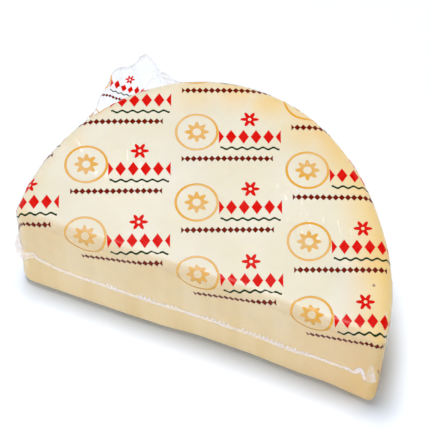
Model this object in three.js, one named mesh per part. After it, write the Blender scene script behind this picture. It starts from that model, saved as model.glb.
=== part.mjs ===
// Half-moon slab of provolone, vacuum-sealed in a clear shrink bag and lying on its lower face.
// Millimetres, +Z up. The straight cut face looks towards -Y and the rind curves round behind it.
// The bag fits the slab so closely that the two share one outer surface, so slab and bag are one
// solid. What the bag has beyond that surface is modelled in pieces of its own: the welded bottom
// seam across the cut face, a pleat at its right end, and the loose tail behind.

import * as THREE from "three";
import { LoftGeometry } from "three/addons/geometries/LoftGeometry.js";

// ---- driving dimensions ----
const CUT_LENGTH = 205; // straight cut face, from end to end
const THICKNESS = 74; // lower face to the top face at its rim
const CROWN = 0.8; // how much the top face rises in its middle
const CORNER_RADIUS = 8; // upright corners at both ends of the cut face
// The right corner is squeezed sharper than the left one, and the wall there leans in from the
// top to the base, which fades out along the first share of the rind.
const RIGHT_END = { sharper: 1.9, lean: 2, rindShare: 0.3 };
const TOP_EDGE_RADIUS = 7;
const BASE_EDGE_RADIUS = 7;
// The rind's curve in plan: sine terms that swell or flatten a plain half circle.
const RIND_WAVES = [0.087, -0.065, -0.031, 0.007];
// The cut face is a little hollow, most at the base, and a little more so beside its right end,
// with a shallow notch low in it.
const HOLLOW = { x: 28, depth: 3, width: 52, leftAtTop: 0.4 };
const END_HOLLOW = { x: 76, depth: 1, width: 14, leftAtTop: 0 };
const NOTCH = { x: 0, depth: 0.7, width: 12, height: 24 };

const GAP = 0.3; // clear space between the slab and each loose piece of the bag

const SEAM_DEPTH = 1; // how far the seam stands out from the cut face
const SEAM_HEIGHT = 2.8;
const SEAM_BUNCH = { height: 4, length: 9 }; // the film gathered at the seam's left end
// The seam's way round the left corner: degrees from the rind's end, how far it stands proud of
// the rest of the seam, and height above the base.
const SEAM_CORNER = [
  { turn: -16, proud: 2.6, height: 33 },
  { turn: 2, proud: 1.4, height: 34.6 },
  { turn: 24, proud: 0.6, height: 35.6 },
  { turn: 46, proud: 0.2, height: 36 },
  { turn: 68, proud: 0.1, height: 37 },
];
// Its way across the cut face, sagging in the middle and ending in a small hook: a share of the
// cut's flat half length, and height above the base.
const SEAM_CUT = [
  { share: -1, height: 37 },
  { share: -0.975, height: 38.3 },
  { share: -0.94, height: 34 },
  { share: -0.79, height: 30.1 },
  { share: -0.55, height: 29.8 },
  { share: -0.25, height: 29.4 },
  { share: 0.05, height: 30 },
  { share: 0.35, height: 30 },
  { share: 0.64, height: 30 },
  { share: 0.84, height: 31.7 },
  { share: 0.95, height: 32.3 },
  { share: 0.98, height: 38.3 },
  { share: 1, height: 34 },
  { share: 1, height: 28 },
];

// A small upright pleat at the right corner: degrees round it, heights of its foot and tip.
const PLEAT = { turn: 62, foot: 28, tip: 47, width: 3.6, depth: 1.3, tipWidth: 0.5 };

const TAIL_ROOT_HEIGHT = 61;
const TAIL_THICKNESS = 0.9;
const TAIL_RIND_SPAN = [0.635, 0.808]; // where it leaves the rind, as shares of the rind's length
const TAIL_HEADING = 118; // degrees from +X, the way the tail points
// The tail's jagged outer edge: how far it reaches, at even steps along its root.
const TAIL_REACH = [
  1.5, 6, 10, 13, 19.5, 25, 25.5, 23.5, 22.5, 24.5, 23, 20, 16.5, 13, 7, 4.5, 2.7,
];
const TAIL_WAVE = 1.7; // height of its crumples at the outer edge
const TAIL_LIFT = 2; // how much higher its outer edge lies than its root

// ---- mesh fineness ----
const RIND_STEPS = 84;
const CORNER_STEPS = 8;
const CUT_STEPS = 30;
const EDGE_STEPS = 5;
const WALL_STEPS = 6;
const CROWN_SCALES = [0.86, 0.68, 0.48, 0.27, 0.09];
const SEAM_STEPS = 90;
const TAIL_STEPS_ALONG = 48;
const TAIL_STEPS_OUT = 14;

const plastic = (name, color, roughness) => {
  const material = new THREE.MeshStandardMaterial({ color, roughness, metalness: 0 });
  material.name = name;
  return material;
};
const cheeseInFilm = plastic("cheese_in_film", "#efe3c6", 0.35);
const weldedFilm = plastic("welded_film", "#ece4d8", 0.4);
const looseFilm = plastic("loose_film", "#f4f4f4", 0.3);

// ---- plan of the slab ----
// The rind's curve is drawn one corner radius inside the outer face, from the right end of the
// cut face round to its left end. Every outline of the slab is this core, grown outwards.
class RindCurve extends THREE.Curve {
  getPoint(t, target = new THREE.Vector3()) {
    const angle = Math.PI * t;
    let share = 1;
    RIND_WAVES.forEach((wave, i) => {
      share += wave * Math.sin((i + 1) * angle);
    });
    const radius = share * (CUT_LENGTH / 2 - CORNER_RADIUS);
    return target.set(radius * Math.cos(angle), radius * Math.sin(angle), 0);
  }
}
const rind = new RindCurve();

const rindStation = (u) => {
  const tangent = rind.getTangentAt(u);
  return {
    core: rind.getPointAt(u),
    out: new THREE.Vector3(tangent.y, -tangent.x, 0).normalize(),
  };
};

const CUT_OUT = new THREE.Vector3(0, -1, 0); // the way the cut face looks

const turned = (out, angle) => out.clone().applyAxisAngle(new THREE.Vector3(0, 0, 1), angle);

// How much further out the right corner's wall stands, at a share of its turn from the cut face.
const sharperAt = (share) => RIGHT_END.sharper * Math.sin(Math.PI * share) ** 2;

// Stations counterclockwise round the slab: a core point, the way out from it, how much further
// out the skin stands there, and how much of the right end's lean it has.
function planStations() {
  const stations = [];
  const plain = { further: 0, lean: 0 };
  const right = rindStation(0);
  const left = rindStation(1);
  for (let i = 0; i <= RIND_STEPS; i++) {
    const u = i / RIND_STEPS;
    const lean = THREE.MathUtils.smoothstep(1 - u / RIGHT_END.rindShare, 0, 1);
    stations.push({ ...rindStation(u), further: 0, lean });
  }
  const leftTurn = left.out.angleTo(CUT_OUT);
  for (let i = 1; i <= CORNER_STEPS; i++) {
    const out = turned(left.out, (leftTurn * i) / CORNER_STEPS);
    stations.push({ ...plain, core: left.core, out });
  }
  for (let i = 1; i < CUT_STEPS; i++) {
    const core = new THREE.Vector3().lerpVectors(left.core, right.core, i / CUT_STEPS);
    stations.push({ ...plain, core, out: CUT_OUT });
  }
  const rightTurn = CUT_OUT.angleTo(right.out);
  for (let i = 0; i < CORNER_STEPS; i++) {
    const share = i / CORNER_STEPS;
    stations.push({
      core: right.core,
      out: turned(CUT_OUT, rightTurn * share),
      further: sharperAt(share),
      lean: THREE.MathUtils.smoothstep(share, 0, 1),
    });
  }
  return stations;
}
const stations = planStations();

const bump = ({ x, depth, width }, at) => depth * Math.exp(-(((at - x) / width) ** 2));

const fadeUp = ({ leftAtTop }, z) => THREE.MathUtils.lerp(1, leftAtTop, z / THICKNESS);

// How far the cut face lies in from its flat plane.
const hollowAt = (x, z) => {
  const broad = bump(HOLLOW, x) * fadeUp(HOLLOW, z);
  const atEnd = bump(END_HOLLOW, x) * fadeUp(END_HOLLOW, z);
  return broad + atEnd + bump(NOTCH, x) * Math.max(0, 1 - z / NOTCH.height);
};

// How far to the right the leaning wall of the right end stands at a height.
const leanAt = (z) => RIGHT_END.lean * (z / THICKNESS - 0.5);

// The sharper corner and the lean both fade towards the core, so the top and the base keep a
// plain rim.
const outline = (reach, z) =>
  stations.map(({ core, out, further, lean }) => {
    const facing = Math.max(0, -out.y);
    const outer = (reach / CORNER_RADIUS) ** 2;
    const whole = reach + further * outer - facing * hollowAt(core.x, z);
    const point = core.clone().addScaledVector(out, whole).setZ(z);
    point.x += lean * leanAt(z) * outer;
    return point;
  });

// ---- slab and close-fitting bag ----
function slabGeometry() {
  const sections = [];
  for (let i = 0; i <= EDGE_STEPS; i++) {
    const turn = ((Math.PI / 2) * i) / EDGE_STEPS;
    const inset = BASE_EDGE_RADIUS * (1 - Math.sin(turn));
    sections.push(outline(CORNER_RADIUS - inset, BASE_EDGE_RADIUS * (1 - Math.cos(turn))));
  }
  const wallTop = THICKNESS - TOP_EDGE_RADIUS;
  for (let i = 1; i < WALL_STEPS; i++) {
    const z = THREE.MathUtils.lerp(BASE_EDGE_RADIUS, wallTop, i / WALL_STEPS);
    sections.push(outline(CORNER_RADIUS, z));
  }
  for (let i = 0; i <= EDGE_STEPS; i++) {
    const turn = ((Math.PI / 2) * i) / EDGE_STEPS;
    const inset = TOP_EDGE_RADIUS * (1 - Math.cos(turn));
    sections.push(outline(CORNER_RADIUS - inset, wallTop + TOP_EDGE_RADIUS * Math.sin(turn)));
  }
  const rim = sections[sections.length - 1];
  const middle = new THREE.Vector3(0, rind.getPoint(0.5).y / 2, THICKNESS);
  for (const scale of CROWN_SCALES) {
    const rise = CROWN * (1 - scale ** 2);
    sections.push(rim.map((point) => point.clone().sub(middle).multiplyScalar(scale)
      .add(middle).setZ(THICKNESS + rise)));
  }
  return new LoftGeometry(sections, { capStart: true, capEnd: true });
}

// ---- bottom seam of the bag ----
const SEAM_REACH = CORNER_RADIUS + GAP + SEAM_DEPTH / 2;

// A spot round the left corner: degrees of turn from the rind's end, and the way out from the slab.
const cornerSpot = (turn, reach, z) => {
  const left = rindStation(1);
  const out = turned(left.out, THREE.MathUtils.degToRad(turn));
  return left.core.clone().addScaledVector(out, reach).setZ(z);
};

// A spot on the cut face: a share of the cut's flat half length, from its middle.
const cutSpot = (share, z) => {
  const x = share * (CUT_LENGTH / 2 - CORNER_RADIUS);
  return new THREE.Vector3(x, hollowAt(x, z) - SEAM_REACH, z);
};

const seamPath = new THREE.CatmullRomCurve3([
  ...SEAM_CORNER.map(({ turn, proud, height }) => cornerSpot(turn, SEAM_REACH + proud, height)),
  ...SEAM_CUT.map(({ share, height }) => cutSpot(share, height)),
]);

// The way out from the slab beside a point of the seam.
const seamOut = (point) => {
  const left = rindStation(1);
  if (point.x > left.core.x) {
    return CUT_OUT;
  }
  return point.clone().sub(left.core).setZ(0).normalize();
};

function seamGeometry() {
  const sections = [];
  for (let i = 0; i <= SEAM_STEPS; i++) {
    const u = i / SEAM_STEPS;
    const point = seamPath.getPointAt(u);
    const out = seamOut(point);
    const across = seamPath.getTangentAt(u).cross(out).normalize();
    const along = u * seamPath.getLength();
    const fromBunch = (along - SEAM_BUNCH.length) / SEAM_BUNCH.length;
    const bunch = SEAM_BUNCH.height * Math.exp(-(fromBunch ** 2));
    const half = { out: SEAM_DEPTH / 2, across: (SEAM_HEIGHT + bunch) / 2 };
    sections.push([[1, 1], [-1, 1], [-1, -1], [1, -1]].map(([a, b]) =>
      point.clone().addScaledVector(out, a * half.out).addScaledVector(across, b * half.across)));
  }
  return new LoftGeometry(sections, { capStart: true, capEnd: true });
}

// ---- pleat of film at the right corner ----
function pleatGeometry() {
  const right = rindStation(0);
  const out = turned(right.out, THREE.MathUtils.degToRad(-PLEAT.turn));
  const side = turned(out, Math.PI / 2);
  const share = 1 - PLEAT.turn / THREE.MathUtils.radToDeg(right.out.angleTo(CUT_OUT));
  const reach = CORNER_RADIUS + sharperAt(share) + GAP;
  const foot = right.core.clone().addScaledVector(out, reach);
  return new LoftGeometry([0, 0.5, 1].map((share) => {
    const width = THREE.MathUtils.lerp(PLEAT.width, PLEAT.tipWidth, share);
    const depth = THREE.MathUtils.lerp(PLEAT.depth, PLEAT.tipWidth, share);
    const z = THREE.MathUtils.lerp(PLEAT.foot, PLEAT.tip, share);
    return [[0, -0.5], [1, 0], [0, 0.5]].map(([a, b]) =>
      foot.clone().addScaledVector(out, a * depth).addScaledVector(side, b * width).setZ(z));
  }), { capStart: true, capEnd: true });
}

// ---- loose tail behind ----
const reachOfTail = (u) => {
  const place = u * (TAIL_REACH.length - 1);
  const i = Math.min(Math.floor(place), TAIL_REACH.length - 2);
  return THREE.MathUtils.lerp(TAIL_REACH[i], TAIL_REACH[i + 1], place - i);
};

// Height of the crumpled film's middle above its root, u along the root and v out from it.
const tailRise = (u, v) => {
  const folds = Math.sin(19 * u + 2 * v) + 0.5 * Math.sin(37 * u - 5 * v + 1);
  return TAIL_WAVE * v * folds + TAIL_LIFT * v;
};

function tailGeometry() {
  const heading = turned(new THREE.Vector3(1, 0, 0), THREE.MathUtils.degToRad(TAIL_HEADING));
  const sections = [];
  for (let i = 0; i <= TAIL_STEPS_ALONG; i++) {
    const u = i / TAIL_STEPS_ALONG;
    const { core, out } = rindStation(THREE.MathUtils.lerp(...TAIL_RIND_SPAN, u));
    const root = core.clone().addScaledVector(out, CORNER_RADIUS + GAP);
    const lower = [];
    const upper = [];
    for (let j = 0; j <= TAIL_STEPS_OUT; j++) {
      const v = j / TAIL_STEPS_OUT;
      const spot = root.clone().addScaledVector(heading, v * reachOfTail(u));
      const z = TAIL_ROOT_HEIGHT + tailRise(u, v);
      upper.push(spot.clone().setZ(z + TAIL_THICKNESS / 2));
      lower.unshift(spot.clone().setZ(z - TAIL_THICKNESS / 2));
    }
    sections.push([...upper, ...lower]);
  }
  return new LoftGeometry(sections, { capStart: true, capEnd: true });
}

const piece = (name, geometry, material) => {
  const mesh = new THREE.Mesh(geometry, material);
  mesh.name = name;
  return mesh;
};

const pack = new THREE.Group();
pack.name = "provolone_half_moon";
pack.add(
  piece("cheese_in_bag", slabGeometry(), cheeseInFilm),
  piece("bag_seam", seamGeometry(), weldedFilm),
  piece("bag_pleat", pleatGeometry(), weldedFilm),
  piece("bag_tail", tailGeometry(), looseFilm),
);

// The origin is the middle of the whole pack's footprint, on the surface that it lies on.
const extent = new THREE.Box3().setFromObject(pack);
const centre = extent.getCenter(new THREE.Vector3());
pack.position.set(-centre.x, -centre.y, -extent.min.z);

export default pack;
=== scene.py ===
"""Half-moon slab of provolone in a printed shrink bag, lying on a pale table."""

import math

import bmesh
import bpy
from mathutils import Euler, Matrix, Vector, kdtree, noise


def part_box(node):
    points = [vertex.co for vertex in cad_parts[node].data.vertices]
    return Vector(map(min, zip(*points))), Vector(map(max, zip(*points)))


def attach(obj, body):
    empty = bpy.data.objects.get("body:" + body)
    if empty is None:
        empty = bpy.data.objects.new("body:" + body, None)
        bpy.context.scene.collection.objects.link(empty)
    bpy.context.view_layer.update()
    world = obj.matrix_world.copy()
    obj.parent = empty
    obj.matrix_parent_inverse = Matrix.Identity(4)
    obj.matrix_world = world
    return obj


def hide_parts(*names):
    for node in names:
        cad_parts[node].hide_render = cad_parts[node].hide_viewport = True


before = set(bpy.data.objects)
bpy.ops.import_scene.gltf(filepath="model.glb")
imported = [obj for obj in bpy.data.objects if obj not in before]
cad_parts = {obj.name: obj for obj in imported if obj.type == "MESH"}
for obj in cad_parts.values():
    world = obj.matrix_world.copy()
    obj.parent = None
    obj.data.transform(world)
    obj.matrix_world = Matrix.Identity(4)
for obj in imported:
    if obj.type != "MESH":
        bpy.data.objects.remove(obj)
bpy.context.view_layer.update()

MM = 0.001

# ---- the slab, in millimetres, as it was cut ----
CUT_LENGTH = 205
THICKNESS = 74
CROWN = 0.8
CORNER_RADIUS = 8
EDGE_RADIUS = 7
RIND_WAVES = (0.087, -0.065, -0.031, 0.007)
CORE_HALF = CUT_LENGTH / 2 - CORNER_RADIUS

# The right corner is squeezed sharper than the left one, and the wall there leans in towards the
# base, which fades out along the first share of the rind.
SHARPER = 1.9
LEAN = 2
LEAN_RIND_SHARE = 0.3


def bell(at, middle, width):
    return math.exp(-(((at - middle) / width) ** 2))


def ease(low, high, at):
    """0 below low, 1 above high, and a smooth step between them."""
    share = min(1, max(0, (at - low) / (high - low)))
    return share * share * (3 - 2 * share)


# ---- plan of the slab ----
def rind_curve(t):
    angle = math.pi * t
    swell = 1 + sum(wave * math.sin((i + 1) * angle) for i, wave in enumerate(RIND_WAVES))
    return Vector((math.cos(angle), math.sin(angle), 0)) * swell * CORE_HALF


RIND_PARTS = 400
RIND_TABLE = [rind_curve(i / RIND_PARTS) for i in range(RIND_PARTS + 1)]
RIND_LENGTHS = [0.0]
for before, after in zip(RIND_TABLE, RIND_TABLE[1:]):
    RIND_LENGTHS.append(RIND_LENGTHS[-1] + (after - before).length)


def rind_station(u):
    """The core point and the way out, at the share u of the rind's length from its right end."""
    target = min(1, max(0, u)) * RIND_LENGTHS[-1]
    i = 0
    while i < len(RIND_LENGTHS) - 2 and RIND_LENGTHS[i + 1] < target:
        i += 1
    part = (target - RIND_LENGTHS[i]) / (RIND_LENGTHS[i + 1] - RIND_LENGTHS[i])
    t = (i + part) / RIND_PARTS
    along = (rind_curve(t + 0.001) - rind_curve(t - 0.001)).normalized()
    return rind_curve(t), Vector((along.y, -along.x, 0))


def turned(way, angle):
    return Matrix.Rotation(angle, 3, "Z") @ way


slab_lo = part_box("cheese_in_bag")[0]
LEFT_BULGE = [rind_station(0.7 + i / 900) for i in range(271)]
FURTHEST_LEFT = min((core + out * CORNER_RADIUS).x for core, out in LEFT_BULGE)
# From the slab's own drawing, whose origin is the middle of the cut, to the table.
SLAB_PLACE = Vector((slab_lo.x - FURTHEST_LEFT * MM, slab_lo.y + CORNER_RADIUS * MM, 0))


def on_table(point):
    """A point of the slab's drawing, in millimetres, as a place on the table, in metres."""
    return Vector(point) * MM + SLAB_PLACE


CUT_OUT = Vector((0, -1, 0))
RIGHT_CORE, RIGHT_OUT = rind_station(0)
LEFT_CORE, LEFT_OUT = rind_station(1)
LEFT_TURN = LEFT_OUT.angle(CUT_OUT)
RIGHT_TURN = RIGHT_OUT.angle(CUT_OUT)


# The sharper corner and the lean both fade towards the core, so top and base keep a plain rim.
def sharper_at(share):
    """How much further out the right corner's wall stands, at a share of its turn from the cut."""
    return SHARPER * math.sin(math.pi * share) ** 2


def walk_round(count):
    """Even steps round the slab, counterclockwise from the rind's right end.

    Each step has its core point, the way out, how much further out the skin stands there, and its
    share of the right end's lean.
    """
    rind = RIND_LENGTHS[-1] + CORNER_RADIUS * (2 * math.pi - LEFT_TURN - RIGHT_TURN)
    left, right = CORNER_RADIUS * LEFT_TURN, CORNER_RADIUS * RIGHT_TURN
    whole = rind + left + 2 * CORE_HALF + right
    steps = []
    for i in range(count + 1):
        way = whole * i / count
        if way <= rind:
            lean = ease(0, 1, 1 - way / rind / LEAN_RIND_SHARE)
            steps.append((*rind_station(way / rind), 0, lean))
        elif way <= rind + left:
            steps.append((LEFT_CORE, turned(LEFT_OUT, (way - rind) / CORNER_RADIUS), 0, 0))
        elif way <= rind + left + 2 * CORE_HALF:
            share = (way - rind - left) / (2 * CORE_HALF)
            steps.append((LEFT_CORE.lerp(RIGHT_CORE, share), CUT_OUT, 0, 0))
        else:
            share = min(1, (way - rind - left - 2 * CORE_HALF) / right)
            out = turned(CUT_OUT, share * RIGHT_TURN)
            steps.append((RIGHT_CORE, out, sharper_at(share), ease(0, 1, share)))
    return steps


# Where the cut face sinks in: middle along the cut, width and depth.
BROAD_HOLLOW = (28, 52, 3)
BROAD_LOST_AT_TOP = 0.6
END_HOLLOW = (76, 14)
FOOT_HOLLOW = (0, 12, 0.7)
FOOT_HEIGHT = 24


def hollow(x, z):
    """How far the cut face lies in from its flat plane."""
    middle, width, depth = BROAD_HOLLOW
    broad = depth * bell(x, middle, width) * (1 - BROAD_LOST_AT_TOP * z / THICKNESS)
    at_end = bell(x, *END_HOLLOW) * (1 - z / THICKNESS)
    middle, width, depth = FOOT_HOLLOW
    return broad + at_end + depth * bell(x, middle, width) * max(0, 1 - z / FOOT_HEIGHT)


def lean_at(z):
    """How far to the right the leaning wall of the right end stands at a height."""
    return LEAN * (z / THICKNESS - 0.5)


# ---- relief of the tight film and the cheese under it, as a depth below the outer surface ----
DENT = Vector((68, 26.6, THICKNESS))
DENT_RUN = Vector((0.45, 0.89))
DENT_ACROSS = Vector((0.89, -0.45))
DENT_DEPTH = 0.85
DENT_LIP = 0.2
# The cheese itself lies a little deeper under the dent than the film that bridges it.
DENT_GAP = 0.8
DENT_GAP_WIDTH = 5
LEAST_DEPTH = 0.05
# How deep the film wanders, and over what distance.
BROAD_WANDER = (0.28, 34)
FINE_WANDER = (0.07, 7)
# Small pinched creases in the film on top: middle, way they run in degrees, half length, depth.
CREASES = (
    ((-73.5, 23), -39, 7, 0.16), ((-72.3, 25.2), -47, 6, 0.14), ((-20.5, 22.2), 30, 3, 0.18),
    ((-6.6, 25.2), 8, 4, 0.14), ((-45, 60), 62, 8, 0.1), ((84, 38), 100, 6, 0.16),
    ((-88, 12), -55, 7, 0.2), ((20, 74), -20, 7, 0.1),
)
CREASE_WIDTH = 0.9
# Dent and creases are only on the top and its round edge, this far down.
TOP_ZONE = 6
# Small upright ripples that the weld draws into the film over it: depth and pitch.
WELD_RIPPLE = 0.16
RIPPLE_PITCH = 1.9
CUT_STREAK = 0.12
# The weld across the cut face: millimetres along the wall from the middle of the cut, and height.
WELD = (
    (-92.3, 38.3), (-90.8, 36.2), (-89.2, 33.9), (-86.7, 33), (-83.2, 32), (-79.8, 31), (-72.9, 30),
    (-62.6, 29.6), (-52, 30), (-42, 29.4), (-32, 29.6), (-21.5, 29.3), (-11, 29.8), (-1.3, 30.1),
    (9, 30), (19, 29.5), (29, 29.8), (36, 30.1), (46, 29.4), (53, 29.2), (60, 29.9), (66, 30.8),
    (73, 31.2), (79.9, 31.7), (83.3, 32), (85.2, 32.9), (87.7, 32), (90, 32), (91.5, 34.5),
    (92.7, 38), (93.6, 37.3), (94.6, 34), (95.6, 30),
)
WELD_LEVEL = [spot for spot in WELD if spot[0] < 91] + [(110, 32)]


def seam_height(x):
    """Height above the table of the weld across the cut face, without the curl at its end."""
    x = max(x, WELD_LEVEL[0][0])
    for (x0, z0), (x1, z1) in zip(WELD_LEVEL, WELD_LEVEL[1:]):
        if x <= x1:
            return z0 + (z1 - z0) * ease(x0, x1, x)
    return WELD_LEVEL[-1][1]


def relief(point, facing):
    """Depth in millimetres at a point of the drawing; facing is how much it faces the cut side."""
    broad = BROAD_WANDER[0] * (1 + noise.noise(point / BROAD_WANDER[1]))
    fine = FINE_WANDER[0] * (1 + noise.noise(point / FINE_WANDER[1] + Vector((9, 4, 2))))
    depth = broad + fine
    if point.z > THICKNESS - TOP_ZONE:
        away = (point - DENT).xy
        side = away.dot(DENT_RUN)
        across = away.dot(DENT_ACROSS)
        depth += DENT_DEPTH * bell(side, 0, 3.4) * bell(across, 0, 1.3)
        depth -= DENT_LIP * bell(side, 0, 4) * bell(across, -2.6, 1.2)
        for middle, heading, half, deep in CREASES:
            away = point.xy - Vector(middle)
            if away.length < 2 * half:
                run = Vector((math.cos(math.radians(heading)), math.sin(math.radians(heading))))
                across = away.dot(Vector((-run.y, run.x)))
                depth += deep * bell(away.dot(run), 0, half) * bell(across, 0, CREASE_WIDTH)
    if facing > 0.5:
        above = point.z - seam_height(point.x)
        ripple = 0.5 + 0.5 * math.sin(point.x * RIPPLE_PITCH + 2 * noise.noise(point / 11))
        gathered = ease(-2, 0, above) * (1 - ease(1, 15, above))
        streak = 1 + noise.noise(Vector((point.x / 5, 3, point.z / 45)))
        depth += WELD_RIPPLE * ripple * gathered * facing
        depth += CUT_STREAK * streak * facing
    return max(LEAST_DEPTH, depth)


# ---- building ----
def finished(name, bm, finish):
    """A mesh object that rides on the whole pack."""
    mesh = bpy.data.meshes.new(name)
    bm.to_mesh(mesh)
    bm.free()
    mesh.materials.append(finish)
    mesh.shade_smooth()
    piece = bpy.data.objects.new(name, mesh)
    bpy.context.scene.collection.objects.link(piece)
    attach(piece, "root")
    return piece


def let_light_through(*films):
    """Thin clear film casts no shadow of its own on the cheese behind it."""
    for film in films:
        film.visible_shadow = False
        film.visible_diffuse = False


def sheet(steps_along, steps_across, notes=()):
    """A flat grid with its film map and named notes, and each vertex's shares along and across."""
    bm = bmesh.new()
    bm.loops.layers.uv.new("film_sheet")
    for note in notes:
        bm.verts.layers.float.new(note)
    bmesh.ops.create_grid(bm, x_segments=steps_along, y_segments=steps_across, size=0.5)
    shares = {}
    for vert in bm.verts:
        shares[vert] = (vert.co.x + 0.5, vert.co.y + 0.5)
    return bm, shares


def profile_rings(base, edge, wall, top):
    """The slab's profile from the middle of the base, up the wall, to the middle of the top.

    Each ring says how much it is shrunk about the slab's middle, how far it reaches out from the
    core, its height, which way it faces (out, up), and how far it is from the top's rim as the
    film lies.
    """
    rim = CORNER_RADIUS - EDGE_RADIUS
    arc = EDGE_RADIUS * math.pi / 2
    wall_height = THICKNESS - 2 * EDGE_RADIUS
    rings = []
    for i in range(base):
        rings.append((i / base, rim, 0, (0, -1), rim + 2 * arc + wall_height))
    for i in range(edge + 1):
        turn = math.pi / 2 * i / edge
        rings.append((
            1,
            CORNER_RADIUS - EDGE_RADIUS * (1 - math.sin(turn)),
            EDGE_RADIUS * (1 - math.cos(turn)),
            (math.sin(turn), -math.cos(turn)),
            rim + arc + wall_height + arc * (1 - i / edge),
        ))
    for i in range(1, wall):
        up = wall_height * i / wall
        rings.append((1, CORNER_RADIUS, EDGE_RADIUS + up, (1, 0), rim + arc + wall_height - up))
    for i in range(edge + 1):
        turn = math.pi / 2 * i / edge
        rings.append((
            1,
            CORNER_RADIUS - EDGE_RADIUS * (1 - math.cos(turn)),
            THICKNESS - EDGE_RADIUS * (1 - math.sin(turn)),
            (math.cos(turn), math.sin(turn)),
            rim + arc * (1 - i / edge),
        ))
    for i in range(1, top + 1):
        share = 1 - i / top
        rings.append((share, rim, THICKNESS + CROWN * (1 - share ** 2), (0, 1), rim))
    return rings


MIDDLE = Vector((0, rind_curve(0.5).y / 2, 0))
# The underside's film has a patch of the flat map to itself.
UNDERSIDE_SHEET = Vector((-0.5, 0.5))
# What the ways out and up add up to past 1, halfway round a round edge.
MIDDLE_OF_BEND = 2 ** 0.5 - 1
MERGE = 0.00002
FINE_MERGE = 0.000005

RIND_SPOTS = 160
rind_tree = kdtree.KDTree(RIND_SPOTS + 1)
for i in range(RIND_SPOTS + 1):
    core, out = rind_station(i / RIND_SPOTS)
    rind_tree.insert(core + out * CORNER_RADIUS, i)
rind_tree.balance()


def slab_skin(around, rings, inset):
    """The slab's outer surface, inset millimetres in, with the film's own flat map and its notes.

    rind_depth is how far a point lies in from the rind, in centimetres. cut_side is 1 on the cut
    face, and top_bend on the middle of the round edge over it, where the paste gets painted shade.
    printed is 0 on the clear film below the weld. The note for the grey rim and painted crease
    shade stays 0, for a film without an edge.
    """
    steps = walk_round(around)
    notes = ("rind_depth", "cut_side", "top_bend", "printed", "rim_and_crease_grey")
    bm, shares = sheet(around, len(rings) - 1, notes)
    flat_map = bm.loops.layers.uv["film_sheet"]
    rind_depth = bm.verts.layers.float["rind_depth"]
    cut_side = bm.verts.layers.float["cut_side"]
    top_bend = bm.verts.layers.float["top_bend"]
    printed = bm.verts.layers.float["printed"]
    lie = {}
    for vert, (along, up) in shares.items():
        core, out, further, lean = steps[round(along * around)]
        ring = round(up * (len(rings) - 1))
        share, reach, height, (face_out, face_up), unrolled = rings[ring]
        facing = max(0, -out.y) ** 2
        outer = (reach / CORNER_RADIUS) ** 2
        whole = reach + further * outer - max(0, -out.y) * hollow(core.x, height)
        spot = core + out * whole
        spot.x += lean * lean_at(height) * outer
        spot = MIDDLE + (spot - MIDDLE) * share
        spot.z = height
        depth = inset + relief(spot, facing * face_out)
        if inset:
            depth += DENT_GAP * bell((spot - DENT).length, 0, DENT_GAP_WIDTH)
        plan = Vector((spot.x, spot.y, 0))
        lie[vert] = (ring, plan.xy * MM, (core + out * unrolled).xy * MM)
        vert[rind_depth] = rind_tree.find(plan)[2] / 10
        vert[cut_side] = facing * ease(0.05, 0.85, face_out)
        vert[top_bend] = facing * max(0, min(1, (face_out + face_up - 1) / MIDDLE_OF_BEND))
        above = spot.z - seam_height(core.x)
        vert[printed] = 1 - ease(0.3, 0.7, facing) * (1 - ease(0, 2.5, above)) * min(1, share)
        spot -= (out * face_out + Vector((0, 0, face_up))) * depth
        spot.z = max(spot.z, 0)
        vert.co = on_table(spot)
    rim_ring = next(i for i, ring in enumerate(rings) if ring[0] == 1)
    top_ring = next(i for i, ring in enumerate(rings) if ring[0] < 1 and i > rim_ring)
    for face in bm.faces:
        under = min(lie[loop.vert][0] for loop in face.loops) < rim_ring
        over = max(lie[loop.vert][0] for loop in face.loops) >= top_ring
        for loop in face.loops:
            ring, plan, unrolled = lie[loop.vert]
            if under:
                loop[flat_map].uv = Vector((-plan.x, plan.y)) + UNDERSIDE_SHEET
            elif over:
                loop[flat_map].uv = plan
            else:
                loop[flat_map].uv = unrolled
    bmesh.ops.remove_doubles(bm, verts=bm.verts, dist=MERGE)
    return bm


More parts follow.
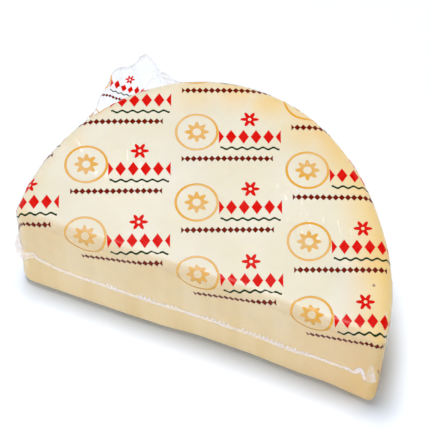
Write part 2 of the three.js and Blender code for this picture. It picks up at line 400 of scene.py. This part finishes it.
# ---- finishes ----
class Finish:
    """One finish, put together from shader nodes."""

    def __init__(self, name):
        self.material = bpy.data.materials.new(name)
        self.material.use_nodes = True
        self.tree = self.material.node_tree
        self.tree.nodes.clear()
        self.output = self.tree.nodes.new("ShaderNodeOutputMaterial")

    def add(self, kind, plugs=(), **settings):
        node = self.tree.nodes.new("ShaderNode" + kind)
        for name, value in settings.items():
            setattr(node, name, value)
        for name, value in dict(plugs).items():
            self.plug(node.inputs[name], value)
        return node

    def plug(self, socket, value):
        if isinstance(value, bpy.types.NodeSocket):
            self.tree.links.new(value, socket)
        else:
            socket.default_value = value

    def math(self, operation, *values, clamp=False):
        node = self.tree.nodes.new("ShaderNodeMath")
        node.operation = operation
        node.use_clamp = clamp
        for socket, value in zip(node.inputs, values):
            self.plug(socket, value)
        return node.outputs[0]

    def blend(self, share, first, second):
        node = self.tree.nodes.new("ShaderNodeMix")
        node.data_type = "RGBA"
        self.plug(node.inputs["Factor"], share)
        self.plug(node.inputs[6], first)
        self.plug(node.inputs[7], second)
        return node.outputs[2]

    def between(self, value, low, high, first=0.0, second=1.0):
        """first where value is low, second where it is high, and a smooth step between."""
        node = self.add("MapRange", interpolation_type="SMOOTHSTEP")
        for socket, number in zip(node.inputs, (value, low, high, first, second)):
            self.plug(socket, number)
        return node.outputs[0]

    def note(self, name):
        return self.add("Attribute", attribute_name=name).outputs["Fac"]

    def place(self):
        return self.add("TexCoord").outputs["Object"]

    def clouds(self, vector, scale, detail=2.0, roughness=0.5):
        plugs = {"Vector": vector, "Scale": scale, "Detail": detail, "Roughness": roughness}
        return self.add("TexNoise", plugs).outputs["Fac"]

    def stretched(self, vector, scale, turn=0.0):
        plugs = {"Vector": vector, "Scale": scale, "Rotation": (0, 0, turn)}
        return self.add("Mapping", plugs).outputs["Vector"]

    def bump(self, height, distance, strength=1.0):
        plugs = {"Height": height, "Distance": distance, "Strength": strength}
        return self.add("Bump", plugs).outputs["Normal"]

    def surface(self, **plugs):
        shader = self.add("BsdfPrincipled")
        for name, value in plugs.items():
            self.plug(shader.inputs[name.replace("_", " ")], value)
        self.tree.links.new(shader.outputs[0], self.output.inputs["Surface"])
        return self.material


def shade(red, green, blue):
    """A colour as seen on a screen, 0 to 255, in the shader's own measure."""
    return tuple(
        (v / 255 / 12.92) if v <= 10 else ((v / 255 + 0.055) / 1.055) ** 2.4
        for v in (red, green, blue)
    ) + (1.0,)


# The top's pale and milky paste is partly painted sheen, and the cut face's tanner, warmer paste is
# partly painted shade.
TOP_PASTE_PAINTED_SHEEN = shade(203, 196, 172)
MILKY_TOP_PASTE_PAINTED_SHEEN = shade(205, 200, 186)
CUT_PASTE_PAINTED_SHADE = shade(227, 203, 157)
CUT_PASTE_PAINTED_SHADE_DARK = shade(221, 193, 139)
# Painted shade: the dull colour that the round edge over the cut is darkened towards.
EDGE_PAINTED_SHADE = shade(184, 170, 144)
CUT_PASTE_PAINTED_SHADE_TAN = shade(220, 184, 126)
RIND_TAN = shade(211, 175, 78)
RIND_GOLD = shade(213, 166, 14)
# Where the rind shows through more widely: middle in plan, radius, and how strongly.
RIND_PATCHES = (
    ((-42, 101), 20, 0.42), ((-2, 108), 16, 0.72), ((24, 99), 20, 0.5), ((44, 92), 18, 0.3),
    ((-90, 46), 9, 0.2), ((97, 20), 16, 0.7), ((97, 42), 13, 0.3), ((-22, 108), 17, 0.6),
)
SPECK = shade(96, 60, 20)
SPECK_PLACE = on_table((87.3, 23.1, THICKNESS - 0.5))
# The speck fades out between these two distances from its middle, in metres.
SPECK_REACH = (0.0004, 0.0012)
# How far the painted shade darkens the middle of that round edge.
BEND_PAINTED_SHADE_SHARE = 0.6


def cheese_paste():
    """Pale close paste, paler on top as painted sheen, tanner on the cut face as painted shade,
    darker on the round edge over it as painted shade, and golden where the rind shows through.
    """
    f = Finish("provolone_paste")
    place = f.place()
    along = f.add("SeparateXYZ", {"Vector": place}).outputs["X"]
    broad = f.clouds(place, 22, 3)
    # Painted sheen: the top is paler than the cut face.
    top = f.blend(f.between(broad, 0.35, 0.65), TOP_PASTE_PAINTED_SHEEN, MILKY_TOP_PASTE_PAINTED_SHEEN)
    streaks = f.clouds(f.stretched(place, (95, 95, 9)), 1, 3)
    # Painted shade: the cut face is tanner than the top. It is tanner still towards its right end.
    cut = f.blend(f.between(streaks, 0.35, 0.7), CUT_PASTE_PAINTED_SHADE, CUT_PASTE_PAINTED_SHADE_DARK)
    cut = f.blend(f.between(along, 0.035, 0.1, 0.0, 0.9), cut, CUT_PASTE_PAINTED_SHADE_TAN)
    side = f.note("cut_side")
    body = f.blend(side, top, cut)
    # Painted shade: the middle of the round edge over the cut is darkened.
    body = f.blend(f.math("MULTIPLY", f.note("top_bend"), BEND_PAINTED_SHADE_SHARE), body, EDGE_PAINTED_SHADE)
    rind = f.note("rind_depth")
    wander = f.math("MULTIPLY_ADD", f.clouds(place, 30, 2), 0.9, -0.45)
    edge = f.math("ADD", rind, wander)
    patches = f.clouds(place, 26, 2)
    gold = f.blend(f.between(patches, 0.4, 0.62), RIND_TAN, RIND_GOLD)
    strength = f.between(along, -0.1, 0.09, 0.14, 0.82)
    reach = f.between(along, -0.08, 0.1, 1.1, 2.9)
    shown = f.math("MULTIPLY", f.between(edge, 0.3, reach, 1.0, 0.0), strength)
    flat = f.add("VectorMath", {0: place, 1: (1, 1, 0)}, operation="MULTIPLY").outputs["Vector"]
    for middle, radius, strong in RIND_PATCHES:
        spot = on_table((*middle, 0))
        away = f.add("VectorMath", {0: flat, 1: spot}, operation="DISTANCE").outputs["Value"]
        glow = f.between(away, 0.1 * radius * MM, 1.2 * radius * MM, strong, 0.0)
        shown = f.math("MAXIMUM", shown, glow)
    shown = f.math("MULTIPLY", shown, f.between(side, 0.3, 1.0, 1.0, 0.3))
    colour = f.blend(shown, body, gold)
    near = f.add("VectorMath", {0: place, 1: SPECK_PLACE}, operation="DISTANCE").outputs["Value"]
    colour = f.blend(f.between(near, *SPECK_REACH, 0.9, 0.0), colour, SPECK)
    grain = f.clouds(place, 900, 4, 0.6)
    return f.surface(
        Base_Color=colour,
        Roughness=f.between(grain, 0.2, 0.8, 0.42, 0.55),
        Normal=f.bump(grain, 0.00012, 0.5),
        Subsurface_Weight=0.25,
        Subsurface_Radius=(0.006, 0.004, 0.002),
        Subsurface_Scale=1.0,
        Specular_IOR_Level=0.3,
    )


# The print: a plain folk pattern of rings, lozenges, rosettes, ripples and dots, in millimetres.
PRINT_TURN = math.radians(22)
COLUMN = 58
ROW = 43
DROP = COLUMN * math.tan(PRINT_TURN)
PRINT_START = (14, 32)
PRINT_ROWS = 9
RED_INK = shade(196, 10, 2)
GREEN_INK = shade(8, 38, 2)
GOLD_INK = shade(204, 147, 36)
BROWN_INK = shade(98, 16, 0)
# Grey for a loose film's rim and, as painted shade, its creases, and how much denser it makes the
# film there.
RIM_AND_CREASE_GREY = shade(183, 178, 175)
RIM_AND_CREASE_COVER = 0.3
# Short pale streaks of painted sheen on the film, in loose groups: per metre, turned from the cut,
# and how dense.
SHEEN_STREAK_GROUPS = 16
SHEEN_STREAK_STRETCH = (110, 430, 110)
SHEEN_STREAK_TURN = math.radians(-118)
SHEEN_STREAK_COVER = 0.38
SHEEN_STREAK_WHITE = shade(250, 249, 246)
FILM_IOR = 1.49
INK_EDGE = 0.16
# Middles of the ring and the rosette, and of each row, in one block of the print.
RING = (-16, 5)
RING_RADIUS = 10.9
RING_LINE = 0.7
ROSETTE_MIDDLE = (12, 13)
# Sun and rosette: mean radius, how far their petals swing about it, radius of the eye, petals.
SUN = (5.2, 1.2, 2.2, 8)
ROSETTE = (3.6, 1.3, 0.9, 6)
LOZENGE_ROW = 2
LOZENGE_PITCH = 6.6
LOZENGE = (2.9, 4.4)
LOZENGE_RUN = 16.4
RIPPLE_ROW = -5.2
RIPPLE_TURNS = 1.14
RIPPLE_HEIGHT = 0.6
RIPPLE_LINE = 0.62
RIPPLE_RUN = 15.6
DOT_ROW = -11.5
DOT_PITCH = 3.2
DOT = (1.75, 1.9)
DOT_RUN = 24


def modulo(f, value, pitch):
    return f.math("FLOORED_MODULO", value, pitch)


def film_print(f, scale, turn, start, rows):
    """Where each ink lies on the film: red, green, gold and brown, each from 0 to 1."""
    flat = f.add("UVMap", uv_map="film_sheet").outputs[0]
    split = f.add("SeparateXYZ", {"Vector": f.stretched(flat, (1000 / scale,) * 3, -turn)})
    s = f.math("ADD", split.outputs["X"], start[0])
    t = f.math("ADD", split.outputs["Y"], start[1])
    column = f.math("FLOOR", f.math("DIVIDE", s, COLUMN))
    x = f.math("SUBTRACT", modulo(f, s, COLUMN), COLUMN / 2)
    dropped = f.math("MULTIPLY_ADD", column, DROP, t)
    y = f.math("SUBTRACT", modulo(f, dropped, ROW), ROW / 2)
    printed = f.math("GREATER_THAN", dropped, 0)
    printed = f.math("MULTIPLY", printed, f.math("LESS_THAN", dropped, rows * ROW))

    def off(value, middle):
        return f.math("SUBTRACT", value, middle)

    def far(x_middle, y_middle):
        across, up = off(x, x_middle), off(y, y_middle)
        squares = f.math("ADD", f.math("MULTIPLY", across, across), f.math("MULTIPLY", up, up))
        return f.math("SQRT", squares), across, up

    def ink(distance):
        return f.math("MULTIPLY_ADD", distance, -1 / INK_EDGE, 0.5, clamp=True)

    def both(first, second):
        return f.math("MAXIMUM", first, second)

    def either(first, second):
        return f.math("MINIMUM", first, second)

    def width(value, half):
        return off(f.math("ABSOLUTE", value), half)

    def tiles(value, pitch):
        """Signed way from the middle of the nearest tile."""
        return off(modulo(f, value, pitch), pitch / 2)

    def lozenge(across, up, half_across, half_up):
        ways = f.math("ADD", f.math("DIVIDE", f.math("ABSOLUTE", across), half_across),
                      f.math("DIVIDE", f.math("ABSOLUTE", up), half_up))
        return f.math("MULTIPLY_ADD", ways, half_across * 0.7, -half_across * 0.7)

    def star(away, across, up, radius, wave, eye, points):
        """A round flower of points, radius in the mean, with an open eye."""
        angle = f.math("ARCTAN2", up, across)
        petals = f.math("COSINE", f.math("MULTIPLY", angle, points))
        rim = f.math("MULTIPLY_ADD", petals, wave, radius)
        return both(off(away, rim), f.math("MULTIPLY", off(away, eye), -1))

    # gold ring with a small sun in it
    away, across, up = far(*RING)
    ring = width(off(away, RING_RADIUS), RING_LINE)
    gold = ink(either(ring, star(away, across, up, *SUN)))

    # red lozenges in a row, with a rosette over them
    block = off(x, ROSETTE_MIDDLE[0])
    row = lozenge(tiles(block, LOZENGE_PITCH), off(y, LOZENGE_ROW), *LOZENGE)
    lozenges = both(row, width(block, LOZENGE_RUN))
    red = ink(either(lozenges, star(*far(*ROSETTE_MIDDLE), *ROSETTE)))

    # green ripple under the lozenges
    turns = f.math("MULTIPLY", block, RIPPLE_TURNS)
    wave = f.math("MULTIPLY", f.math("SINE", turns), RIPPLE_HEIGHT)
    line = width(f.math("SUBTRACT", off(y, RIPPLE_ROW), wave), RIPPLE_LINE)
    green = ink(both(line, width(block, RIPPLE_RUN)))

    # brown dots in a row
    row = lozenge(tiles(x, DOT_PITCH), off(y, DOT_ROW), *DOT)
    brown = ink(both(row, width(x, DOT_RUN)))
    return [f.math("MULTIPLY", mask, printed) for mask in (red, green, gold, brown)]


def printed_film(name, clear_share, haze, roughness, scale=1.0, turn=PRINT_TURN,
                 start=PRINT_START, rows=PRINT_ROWS):
    """Clear film with its print; haze is its faint colour, part milky film and part painted sheen;
    pale streaks of painted sheen lie on it, and it is greyer and denser along a rim and, as painted
    shade, along creases.
    """
    f = Finish(name)
    place = f.place()
    red, green, gold, brown = film_print(f, scale, turn, start, rows)
    there = f.note("printed")
    rim_and_crease_grey = f.note("rim_and_crease_grey")
    patchy = f.clouds(place, 35, 2)
    # Painted sheen: short pale streaks on the film, kept off the cut face.
    groups = f.between(f.clouds(place, SHEEN_STREAK_GROUPS, 1), 0.5, 0.6)
    strokes = f.clouds(f.stretched(f.stretched(place, (1, 1, 1), SHEEN_STREAK_TURN), SHEEN_STREAK_STRETCH), 1, 1)
    sheen_streaks = f.math("MULTIPLY", groups, f.between(strokes, 0.6, 0.7, 0.0, SHEEN_STREAK_COVER))
    sheen_streaks = f.math("MULTIPLY", sheen_streaks, f.between(f.note("cut_side"), 0.0, 0.2, 1.0, 0.0))
    # Grey along a rim and, as painted shade, along creases.
    haze = f.blend(rim_and_crease_grey, haze, RIM_AND_CREASE_GREY)
    haze = f.blend(f.math("MINIMUM", f.math("MULTIPLY", sheen_streaks, 4), 1), haze, SHEEN_STREAK_WHITE)
    colour = f.blend(gold, haze, GOLD_INK)
    colour = f.blend(brown, colour, BROWN_INK)
    colour = f.blend(green, colour, GREEN_INK)
    colour = f.blend(red, colour, RED_INK)
    strong = f.math("MAXIMUM", f.math("MAXIMUM", red, green), brown)
    thin_gold = f.math("MULTIPLY", gold, f.between(patchy, 0.3, 0.6, 0.65, 0.95))
    strong = f.math("MAXIMUM", strong, thin_gold)
    strong = f.math("MULTIPLY", strong, there)
    cover = f.between(patchy, 0.3, 0.7, clear_share * 0.6, clear_share * 1.4)
    cover = f.math("MULTIPLY", cover, f.between(there, 0.0, 1.0, 0.35, 1.0))
    # Part of the film's whitish haze is painted sheen, so it is thinner on the cut face than on
    # top.
    cover = f.math("MULTIPLY", cover, f.between(f.note("cut_side"), 0.0, 1.0, 1.0, 0.6))
    cover = f.math("MAXIMUM", f.math("MULTIPLY_ADD", rim_and_crease_grey, RIM_AND_CREASE_COVER, cover, clamp=True), sheen_streaks)
    alpha = f.math("MAXIMUM", cover, strong)
    wrinkles = f.clouds(f.stretched(place, (1, 1, 0.4)), 260, 3, 0.55)
    return f.surface(
        Base_Color=colour,
        Alpha=alpha,
        Roughness=f.between(wrinkles, 0.3, 0.7, roughness * 0.8, roughness * 1.25),
        Normal=f.bump(wrinkles, 0.0002, 0.35),
        IOR=FILM_IOR,
        Specular_IOR_Level=0.1,
    )


WELD_PINK = shade(236, 223, 226)
WELD_CREAM = shade(240, 223, 209)
WELD_WHITE = shade(246, 241, 238)


def welded_film(name, dense):
    """Film gone white where it was heated and gathered, thinning out to its rims."""
    f = Finish(name)
    place = f.place()
    patchy = f.clouds(place, 420, 3)
    tint = f.clouds(place, 110, 2)
    colour = f.blend(f.between(tint, 0.35, 0.65), WELD_PINK, WELD_CREAM)
    colour = f.blend(f.between(patchy, 0.45, 0.75), colour, WELD_WHITE)
    fade = f.between(f.note("bead_rim"), 0.55, 1.0, 1.0, 0.0)
    return f.surface(
        Base_Color=colour,
        Roughness=f.between(patchy, 0.3, 0.7, 0.3, 0.5),
        Normal=f.bump(patchy, 0.00015, 0.5),
        Alpha=f.math("MULTIPLY", fade, f.between(patchy, 0.3, 0.7, dense, 0.7 * dense)),
        IOR=FILM_IOR,
        Specular_IOR_Level=0.4,
    )


def loose_film(name, clear_share, haze):
    """Clear unprinted film, a little milky where it is crumpled."""
    f = Finish(name)
    place = f.place()
    crumple = f.clouds(place, 300, 3, 0.6)
    return f.surface(
        Base_Color=f.blend(crumple, haze, shade(252, 252, 252)),
        Roughness=f.between(crumple, 0.3, 0.7, 0.15, 0.35),
        Normal=f.bump(crumple, 0.0003, 0.5),
        Alpha=f.between(crumple, 0.3, 0.7, clear_share * 0.7, clear_share * 1.4),
        IOR=FILM_IOR,
    )


# ---- the cheese and the film on it ----
# Steps round the slab, and rings up the base, each round edge, the wall and the top.
CHEESE_STEPS = 300
CHEESE_RINGS = (6, 8, 24, 40)
SKIN_STEPS = 460
SKIN_RINGS = (10, 8, 36, 90)
FILM_GAP = 0.25
# The film's faint milky colour, partly painted sheen on top.
SKIN_HAZE = shade(236, 231, 222)

cheese = finished(
    "provolone_half_moon", slab_skin(CHEESE_STEPS, profile_rings(*CHEESE_RINGS), FILM_GAP),
    cheese_paste())
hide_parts("cheese_in_bag")
skin = finished(
    "shrink_film_skin", slab_skin(SKIN_STEPS, profile_rings(*SKIN_RINGS), 0.0),
    printed_film("printed_shrink_film", 0.16, SKIN_HAZE, 0.3))
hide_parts("cheese_in_bag")
let_light_through(skin)


# ---- the bottom weld, its gathers and the fold at its right end ----
def wall_spot(way, height, proud):
    """A place proud of the film and the way out there.

    way is in millimetres along the cut from its middle, and goes on round both corners.
    """
    core, out, further, lean = Vector((way, 0, 0)), CUT_OUT, 0, 0
    if way < -CORE_HALF:
        turn = (-CORE_HALF - way) / CORNER_RADIUS
        core, out = LEFT_CORE, turned(CUT_OUT, -turn)
    elif way > CORE_HALF:
        turn = (way - CORE_HALF) / CORNER_RADIUS
        core, out = RIGHT_CORE, turned(CUT_OUT, turn)
        further, lean = sharper_at(turn / RIGHT_TURN), ease(0, 1, turn / RIGHT_TURN)
    facing = max(0, -out.y)
    spot = core + out * (CORNER_RADIUS + further - facing * hollow(core.x, height))
    spot.x += lean * lean_at(height)
    spot.z = height
    return spot + out * (proud - relief(spot, facing ** 2)), out


def smooth_way(spots, share):
    """A point of the smooth curve through spots, at share of the way along it."""
    place = share * (len(spots) - 1)
    i = min(int(place), len(spots) - 2)
    part = place - i
    p0, p1, p2, p3 = (spots[min(max(k, 0), len(spots) - 1)] for k in (i - 1, i, i + 1, i + 2))
    return tuple(
        0.5 * (2 * b + (c - a) * part + (2 * a - 5 * b + 4 * c - d) * part ** 2
               + (3 * b - a - 3 * c + d) * part ** 3)
        for a, b, c, d in zip(p0, p1, p2, p3)
    )


def bead_sheet():
    """An empty mesh for beads; bead_rim is 0 along a bead's crest and 1 at both its rims."""
    bm = bmesh.new()
    bm.verts.layers.float.new("bead_rim")
    return bm


def add_bead(bm, spots, high, deep, steps, round_steps=12, ripple=0.0):
    """Adds a raised bead of film along spots, each (way, height, how far its rims stand proud)."""
    bead, shares = sheet(steps, round_steps, ("bead_rim",))
    bead_rim = bead.verts.layers.float["bead_rim"]
    outward = {}
    for vert, (along, around) in shares.items():
        way, height, proud = smooth_way(spots, along)
        spot, out = wall_spot(way, height, proud)
        ahead = smooth_way(spots, min(1, along + 0.01))
        behind = smooth_way(spots, max(0, along - 0.01))
        run = (wall_spot(*ahead)[0] - wall_spot(*behind)[0]).normalized()
        across = out.cross(run).normalized()
        thin = min(1, 14 * along, 14 * (1 - along)) ** 0.5
        turn = math.pi * (around - 0.5)
        wave = noise.noise(Vector((way * 0.8, height * 0.8, 2 * round(math.sin(turn)))))
        wide = high * math.sin(turn) * (1 + ripple * wave)
        spot += (out * math.cos(turn) * deep + across * wide) * thin
        vert[bead_rim] = abs(math.sin(turn))
        vert.co = on_table(spot)
        outward[vert] = out
    bmesh.ops.remove_doubles(bead, verts=bead.verts, dist=FINE_MERGE)
    bead.normal_update()
    if sum(vert.normal.dot(outward[vert]) for vert in bead.verts) < 0:
        bmesh.ops.reverse_faces(bead, faces=bead.faces)
    part = bpy.data.meshes.new("part")
    bead.to_mesh(part)
    bead.free()
    bm.from_mesh(part)
    bpy.data.meshes.remove(part)


WELD_WAVER = 0.1
WELD_HALF_WIDTH = 2.1
# Stretches of the weld with teeth, along the wall from the middle of the cut.
TOOTH_RUNS = ((-49, -43), (-30, -23), (-15, -9), (5, 21), (27, 58), (61, 64))
TOOTH_PITCH = 2.3
TOOTH_HEIGHT = 3.4
TOOTH_FOOT = 0.75
TOOTH_TIP = 0.25
TOOTH_FLATNESS = 0.3


def weld():
    """The flat bead across the cut face."""
    bm = bead_sheet()
    spots = [(way, height + WELD_WAVER * math.sin(way * 0.9), 0.02) for way, height in WELD]
    add_bead(bm, spots, WELD_HALF_WIDTH, 0.1, 520, 14, 0.22)
    return bm


def teeth():
    """Small upright teeth of film that stand on the weld."""
    bm = bead_sheet()
    for low, high in TOOTH_RUNS:
        for i in range(int((high - low) / TOOTH_PITCH) + 1):
            way = low + i * TOOTH_PITCH + 0.8 * noise.noise(Vector((low, i * 1.7, 0.3)))
            tall = TOOTH_HEIGHT + 1.6 * noise.noise(Vector((way, 2.5, 7)))
            spot = wall_spot(way, seam_height(way) + 0.8 + tall / 2, 0.1)[0]
            made = bmesh.ops.create_cone(
                bm, cap_ends=True, segments=8, radius1=TOOTH_FOOT * MM, radius2=TOOTH_TIP * MM,
                depth=tall * MM)
            lean = Matrix.Rotation(0.25 * noise.noise(Vector((way, 8, 3))), 4, "Y")
            flat = Matrix.Diagonal((1, TOOTH_FLATNESS, 1, 1))
            place = Matrix.Translation(on_table(spot))
            bmesh.ops.transform(bm, verts=made["verts"], matrix=place @ lean @ flat)
    return bm


# The runs of gathered film, as (way along the wall, height, how far it stands proud).
CORNER_GATHER = [
    (-91.2, 36.8, 0.1), (-92.3, 38.4, 0.2), (-94.6, 36.4, 0.3), (-97, 34.8, 0.3),
    (-99.9, 33.9, 0.4), (-102.4, 35, 0.8), (-104, 38.5, 1.1), (-104.6, 43.5, 0.9),
]
LOWER_GATHER = [
    (-91.6, 34.9, 0.1), (-94.2, 33.3, 0.3), (-96.2, 30.6, 0.3), (-97.5, 27.4, 0.1),
]
END_CRUMPLE = [(94, 36.2, 0.1), (94.9, 33.4, 0.2), (95.8, 30.6, 0.3), (96.1, 28.4, 0.2)]
SHORT_CRUMPLE = [(85.1, 34, 0), (85.3, 32.5, 0.1), (85.9, 31.2, 0)]


def gathers():
    """Gathered film round the left corner, and the crumple at the weld's right end."""
    bm = bead_sheet()
    add_bead(bm, CORNER_GATHER, 1.9, 0.3, 120, 14, 0.4)
    add_bead(bm, LOWER_GATHER, 1, 0.25, 60, 12, 0.4)
    add_bead(bm, END_CRUMPLE, 1.2, 0.3, 50, 12, 0.5)
    add_bead(bm, SHORT_CRUMPLE, 1.6, 0.3, 30, 12, 0.3)
    return bm


# The blister's right edge and its width along the wall, its foot and height, and how proud it is.
WEB_EDGE = -97
WEB_WIDTH = 10.5
WEB_FOOT = 24.5
WEB_HEIGHT = 19.5
WEB_RIM = 0.12
WEB_PROUD = 2.9


def corner_web():
    """Film drawn off the left corner in a low blister where it was gathered."""
    bm, shares = sheet(40, 40, ("bead_rim",))
    bead_rim = bm.verts.layers.float["bead_rim"]
    for vert, (along, across) in shares.items():
        way = WEB_EDGE - WEB_WIDTH * along
        height = WEB_FOOT + WEB_HEIGHT * across
        rise = math.sin(math.pi * along) ** 0.6 * math.sin(math.pi * across) ** 0.8
        ripple = 0.3 * noise.noise(Vector((way * 0.5, height * 0.25, 3)))
        proud = WEB_RIM + (WEB_PROUD + ripple) * rise
        vert[bead_rim] = 1 - min(1, 1.25 * rise)
        vert.co = on_table(wall_spot(way, height, proud)[0])
    return bm


# The fold's foot, its two sides up to the tip, and the crumpled film between them.
FOLD_FOOT = [(95, 27.4, 0.1), (97.4, 27.4, 0.2), (99.5, 27.6, 0.2), (101.5, 27.9, 0.1)]
FOLD_LEFT = [(96.6, 29.5, 0.1), (96.9, 34.9, 0.1), (97.8, 41, 0.1), (98.7, 47.4, 0)]
FOLD_RIGHT = [(101.3, 28, 0.1), (100.5, 34.2, 0.2), (99.6, 41, 0.1), (98.8, 47.4, 0)]
FOLD_CRUMPLE = [(100, 28.4, 0.1), (99.8, 31.5, 0.2), (99.4, 35, 0.2), (99.2, 38.5, 0)]


def fold():
    """The small upright fold at the right corner, with its foot along the weld."""
    bm = bead_sheet()
    add_bead(bm, FOLD_FOOT, 0.7, 0.12, 50, 12, 0.5)
    add_bead(bm, FOLD_LEFT, 0.4, 0.08, 60, 12, 0.3)
    add_bead(bm, FOLD_RIGHT, 0.7, 0.12, 60, 12, 0.3)
    add_bead(bm, FOLD_CRUMPLE, 1.6, 0.12, 40, 12, 0.4)
    return bm


weld_finish = welded_film("welded_film_white", 0.82)
weld_bead = finished("bag_bottom_weld", weld(), weld_finish)
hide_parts("bag_seam")
weld_teeth = finished("bag_weld_teeth", teeth(), welded_film("welded_film_teeth", 0.95))
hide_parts("bag_seam")
gather_beads = finished("bag_gathers", gathers(), weld_finish)
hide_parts("bag_seam")


FOLD_FACE = ((96.6, 28.6, 0.3), (98.6, 47, 0.1), (98.8, 47, 0.1), (101.2, 28.2, 0.3))
FOLD_FACE_STEPS = 10


def fold_face():
    """The clear film of the fold between its two sides."""
    bm, shares = sheet(FOLD_FACE_STEPS, FOLD_FACE_STEPS)
    left_foot, left_tip, right_tip, right_foot = FOLD_FACE
    for vert, (along, across) in shares.items():
        left = [a + (b - a) * along for a, b in zip(left_foot, left_tip)]
        right = [a + (b - a) * along for a, b in zip(right_foot, right_tip)]
        way, height, proud = (a + (b - a) * across for a, b in zip(left, right))
        vert.co = on_table(wall_spot(way, height, proud)[0])
    bmesh.ops.remove_doubles(bm, verts=bm.verts, dist=FINE_MERGE)
    return bm


clear_finish = loose_film("clear_loose_film", 0.24, shade(236, 222, 214))
web = finished("bag_corner_web", corner_web(), welded_film("welded_film_web", 0.6))
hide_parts("bag_seam")

fold_beads = finished("bag_corner_fold", fold(), welded_film("welded_film_thin", 0.42))
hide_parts("bag_pleat")
fold_film = finished("bag_corner_fold_film", fold_face(), clear_finish)
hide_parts("bag_pleat")
let_light_through(weld_bead, weld_teeth, gather_beads, web, fold_beads, fold_film)


# ---- the loose tail behind ----
TAIL_ROOT_HEIGHT = 61
TAIL_RIND_SPAN = (0.635, 0.808)
TAIL_HEADING = math.radians(118)
TAIL_REACH = (
    1.5, 6, 10, 13, 19.5, 25, 25.5, 23.5, 22.5, 24.5, 23, 20, 16.5, 13, 7, 4.5, 2.7,
)
TAIL_WAVE = 1.7
TAIL_LIFT = 2
TAIL_CRUMPLE = 1.3
TAIL_SUNK = 0.4
TAIL_NICKS = 0.015


def tail():
    """The bag's neck, shrunk to a small crumpled fan."""
    bm, shares = sheet(160, 48, ("printed", "rim_and_crease_grey"))
    flat_map = bm.loops.layers.uv["film_sheet"]
    printed = bm.verts.layers.float["printed"]
    rim_and_crease_grey = bm.verts.layers.float["rim_and_crease_grey"]
    heading = Vector((math.cos(TAIL_HEADING), math.sin(TAIL_HEADING), 0))
    plan = {}
    for vert, (u, v) in shares.items():
        right_end, left_end = TAIL_RIND_SPAN
        core, out = rind_station(right_end + (left_end - right_end) * u)
        place = u * (len(TAIL_REACH) - 1)
        i = min(int(place), len(TAIL_REACH) - 2)
        reach = TAIL_REACH[i] + (TAIL_REACH[i + 1] - TAIL_REACH[i]) * (place - i)
        reach *= 1 - TAIL_NICKS * abs(noise.noise(Vector((u * 40, 1, 1))))
        spot = core + out * (CORNER_RADIUS - TAIL_SUNK) + heading * v * reach
        folds = math.sin(19 * u + 2 * v) + 0.5 * math.sin(37 * u - 5 * v + 1)
        coarse = noise.noise(Vector((u * 22, v * 4, 3)))
        crumple = coarse + 0.5 * noise.noise(Vector((u * 60, v * 9, 8)))
        waves = TAIL_WAVE * v * folds + TAIL_LIFT * v + TAIL_CRUMPLE * crumple * v
        spot.z = TAIL_ROOT_HEIGHT + waves
        plan[vert] = spot.xy * MM
        vert[printed] = 1
        # Painted shade: grey lines along the tail's creases; the rim is greyer too.
        crease_shade = bell(v, 0.45 + 0.3 * math.sin(11 * u), 0.03) + bell(u, 0.36 + 0.1 * v, 0.012)
        vert[rim_and_crease_grey] = min(1, ease(0.9, 1, v) + 0.4 * crease_shade)
        vert.co = on_table(spot)
    for face in bm.faces:
        for loop in face.loops:
            loop[flat_map].uv = plan[loop.vert]
    return bm


TAIL_PRINT = {"scale": 0.55, "turn": math.radians(7.7), "start": (161.5, -120.7), "rows": 2}
TAIL_HAZE = shade(206, 201, 195)
tail_film = finished(
    "bag_tail_film", tail(),
    printed_film("printed_loose_film", 0.4, TAIL_HAZE, 0.25, **TAIL_PRINT))
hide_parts("bag_tail")


# ---- camera, table and light ----
CAMERA_PLACE = Vector((241.386, -578.762, 1213.146))
CAMERA_TURN = Euler((math.radians(30), 0, math.radians(21.9115)))
PIXELS = 428
FOCAL_PIXELS = 2536.05
SENSOR = 36

camera_data = bpy.data.cameras.new("camera")
camera_data.sensor_width = SENSOR
camera_data.lens = FOCAL_PIXELS / PIXELS * SENSOR
camera_data.clip_end = 10
camera = bpy.data.objects.new("camera", camera_data)
camera.location = on_table(CAMERA_PLACE)
camera.rotation_euler = CAMERA_TURN
bpy.context.scene.collection.objects.link(camera)
bpy.context.scene.camera = camera


TABLE_HALF = 6
TABLE_DARK = shade(230, 238, 251)
TABLE_LIGHT = shade(233, 241, 254)


def table_top():
    """Plain pale table."""
    f = Finish("white_table")
    speck = f.clouds(f.place(), 60, 2)
    return f.surface(Base_Color=f.blend(speck, TABLE_DARK, TABLE_LIGHT), Roughness=0.9)


bm = bmesh.new()
bmesh.ops.create_grid(bm, x_segments=1, y_segments=1, size=TABLE_HALF)
floor_mesh = bpy.data.meshes.new("table")
bm.to_mesh(floor_mesh)
bm.free()
floor_mesh.materials.append(table_top())
floor = bpy.data.objects.new("table", floor_mesh)
bpy.context.scene.collection.objects.link(floor)


LAMP_AIM = Vector((0, 0, 0.04))


def softbox(name, place, size, power):
    """A soft square lamp that looks at the slab."""
    data = bpy.data.lights.new(name, "AREA")
    data.size = size
    data.energy = power
    lamp = bpy.data.objects.new(name, data)
    lamp.location = place
    lamp.visible_camera = False
    lamp.rotation_euler = (LAMP_AIM - Vector(place)).to_track_quat("-Z", "Y").to_euler()
    bpy.context.scene.collection.objects.link(lamp)


softbox("key_softbox", (-0.15, 0.08, 2.0), 0.56, 37)
softbox("front_softbox", (-0.3, -2.2, 0.5), 1.2, 22)
softbox("left_softbox", (-2.2, 0.3, 0.5), 1.2, 9)
softbox("right_softbox", (2.2, 0.5, 0.5), 1.2, 14)
softbox("back_softbox", (0.3, 2.2, 0.5), 1.2, 9)

WORLD_LIGHT = 0.2
world = bpy.data.worlds.new("studio")
world.use_nodes = True
background = world.node_tree.nodes["Background"]
background.inputs["Color"].default_value = (1, 1, 1, 1)
background.inputs["Strength"].default_value = WORLD_LIGHT
bpy.context.scene.world = world
bpy.context.scene.view_settings.view_transform = "Standard"
